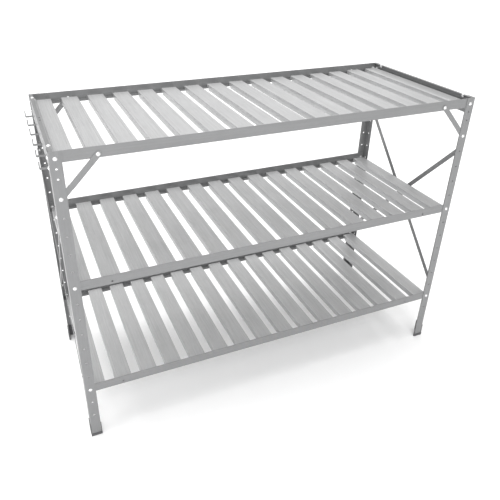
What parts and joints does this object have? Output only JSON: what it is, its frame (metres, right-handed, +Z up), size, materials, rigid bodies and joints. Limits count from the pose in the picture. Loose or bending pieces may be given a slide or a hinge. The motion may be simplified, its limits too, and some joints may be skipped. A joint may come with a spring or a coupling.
{
  "type": "potting bench",
  "caption": "Three-shelf potting bench of folded galvanised sheet steel: slatted shelves between bolted angle legs, crossed end straps and tool hooks on the left end.",
  "frame": {"origin": "on the floor, at the middle of the bench's outline, hooks and bolt heads included", "axes": "+X to the right along the bench, +Y to the rear, +Z up; the front faces -Y"},
  "size_m": [1.2396, 0.49, 0.903],
  "materials": {
    "frame_steel": "galvanised, satin",
    "slat_steel": "galvanised, satin with fine lines along each slat",
    "bolt_steel": "bright zinc plated",
    "foot_plastic": "moulded, matte"
  },
  "bodies": {
    "root": {"leg_front_left": "frame_steel", "foot_front_left": "foot_plastic", "corner_brace_front_left": "frame_steel", "leg_front_right": "frame_steel", "foot_front_right": "foot_plastic", "corner_brace_front_right": "frame_steel", "rail_top_front": "frame_steel", "rail_middle_front": "frame_steel", "rail_lower_front": "frame_steel", "leg_rear_left": "frame_steel", "foot_rear_left": "foot_plastic", "corner_brace_rear_left": "frame_steel", "leg_rear_right": "frame_steel", "foot_rear_right": "foot_plastic", "corner_brace_rear_right": "frame_steel", "rail_top_rear": "frame_steel", "rail_middle_rear": "frame_steel", "rail_lower_rear": "frame_steel", "end_rail_left": "frame_steel", "end_strap_left_falling_front": "frame_steel", "end_strap_left_falling_rear": "frame_steel", "end_rail_right": "frame_steel", "end_strap_right_falling_front": "frame_steel", "end_strap_right_falling_rear": "frame_steel", "top_slats_01_02": "slat_steel", "top_slats_03_04": "slat_steel", "top_slats_05_06": "slat_steel", "top_slats_07_08": "slat_steel", "top_slats_09_10": "slat_steel", "top_slats_11_12": "slat_steel", "top_slats_13_14": "slat_steel", "top_slats_15_16": "slat_steel", "middle_slats_01_02": "slat_steel", "middle_slats_03_04": "slat_steel", "middle_slats_05_06": "slat_steel", "middle_slats_07_08": "slat_steel", "middle_slats_09_10": "slat_steel", "middle_slats_11_12": "slat_steel", "middle_slats_13_14": "slat_steel", "middle_slats_15_16": "slat_steel", "lower_slats_01_02": "slat_steel", "lower_slats_03_04": "slat_steel", "lower_slats_05_06": "slat_steel", "lower_slats_07_08": "slat_steel", "lower_slats_09_10": "slat_steel", "lower_slats_11_12": "slat_steel", "lower_slats_13_14": "slat_steel", "lower_slats_15_16": "slat_steel", "hook_1": "frame_steel", "hook_2": "frame_steel", "hook_3": "frame_steel", "hook_4": "frame_steel", "hook_5": "frame_steel", "hook_6": "frame_steel", "rail_bolts": "bolt_steel", "rail_nuts": "bolt_steel", "brace_bolts": "bolt_steel", "brace_nuts": "bolt_steel", "end_bolts": "bolt_steel", "end_nuts": "bolt_steel"}
  },
  "joints": []
}
